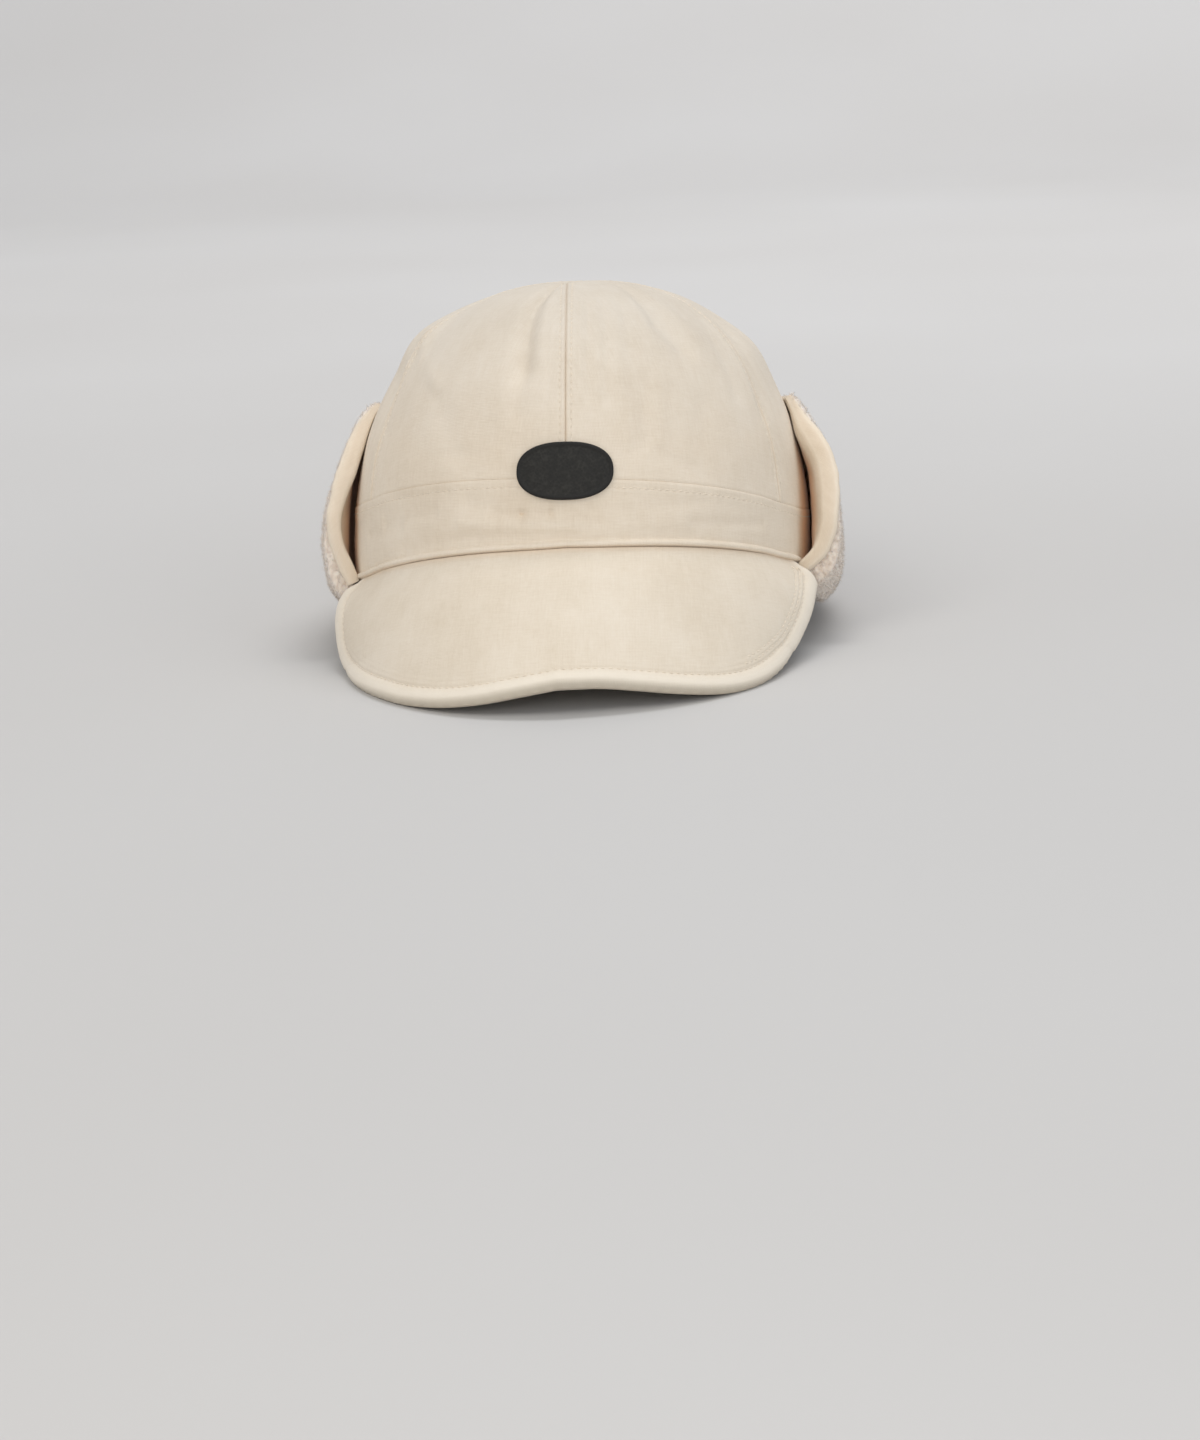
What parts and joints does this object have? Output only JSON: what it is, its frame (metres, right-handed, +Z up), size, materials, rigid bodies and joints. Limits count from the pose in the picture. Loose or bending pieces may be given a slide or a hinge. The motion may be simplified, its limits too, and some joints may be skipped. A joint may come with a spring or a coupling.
{
  "type": "earflap cap",
  "caption": "Soft cotton earflap cap with a panelled crown, a short padded peak, a fleece-faced flap turned up round the sides and back, and a blank dark oval patch at the front.",
  "frame": {"origin": "on the ground under the middle of the cap's box, as it stands on the peak's two corners and the back of the flap's fold", "axes": "+Z up, -Y the way the peak looks, +X to the right as seen from the front"},
  "size_m": [0.1968, 0.2562, 0.133],
  "materials": {
    "crown_cotton": "plain fine weave, matt, cream",
    "peak_cotton": "plain fine weave over padding, matt, cream",
    "fleece": "short curly pile, matt, pinkish off-white",
    "patch_leather": "dull, lightly mottled, nearly black"
  },
  "bodies": {
    "root": {"crown_front_left": "crown_cotton", "crown_front_right": "crown_cotton", "crown_side_left": "crown_cotton", "crown_side_right": "crown_cotton", "crown_back_left": "crown_cotton", "crown_back_right": "crown_cotton", "crown_band": "crown_cotton", "peak": "peak_cotton", "flap_shell": "crown_cotton", "flap_fleece": "fleece", "patch": "patch_leather"}
  },
  "joints": []
}
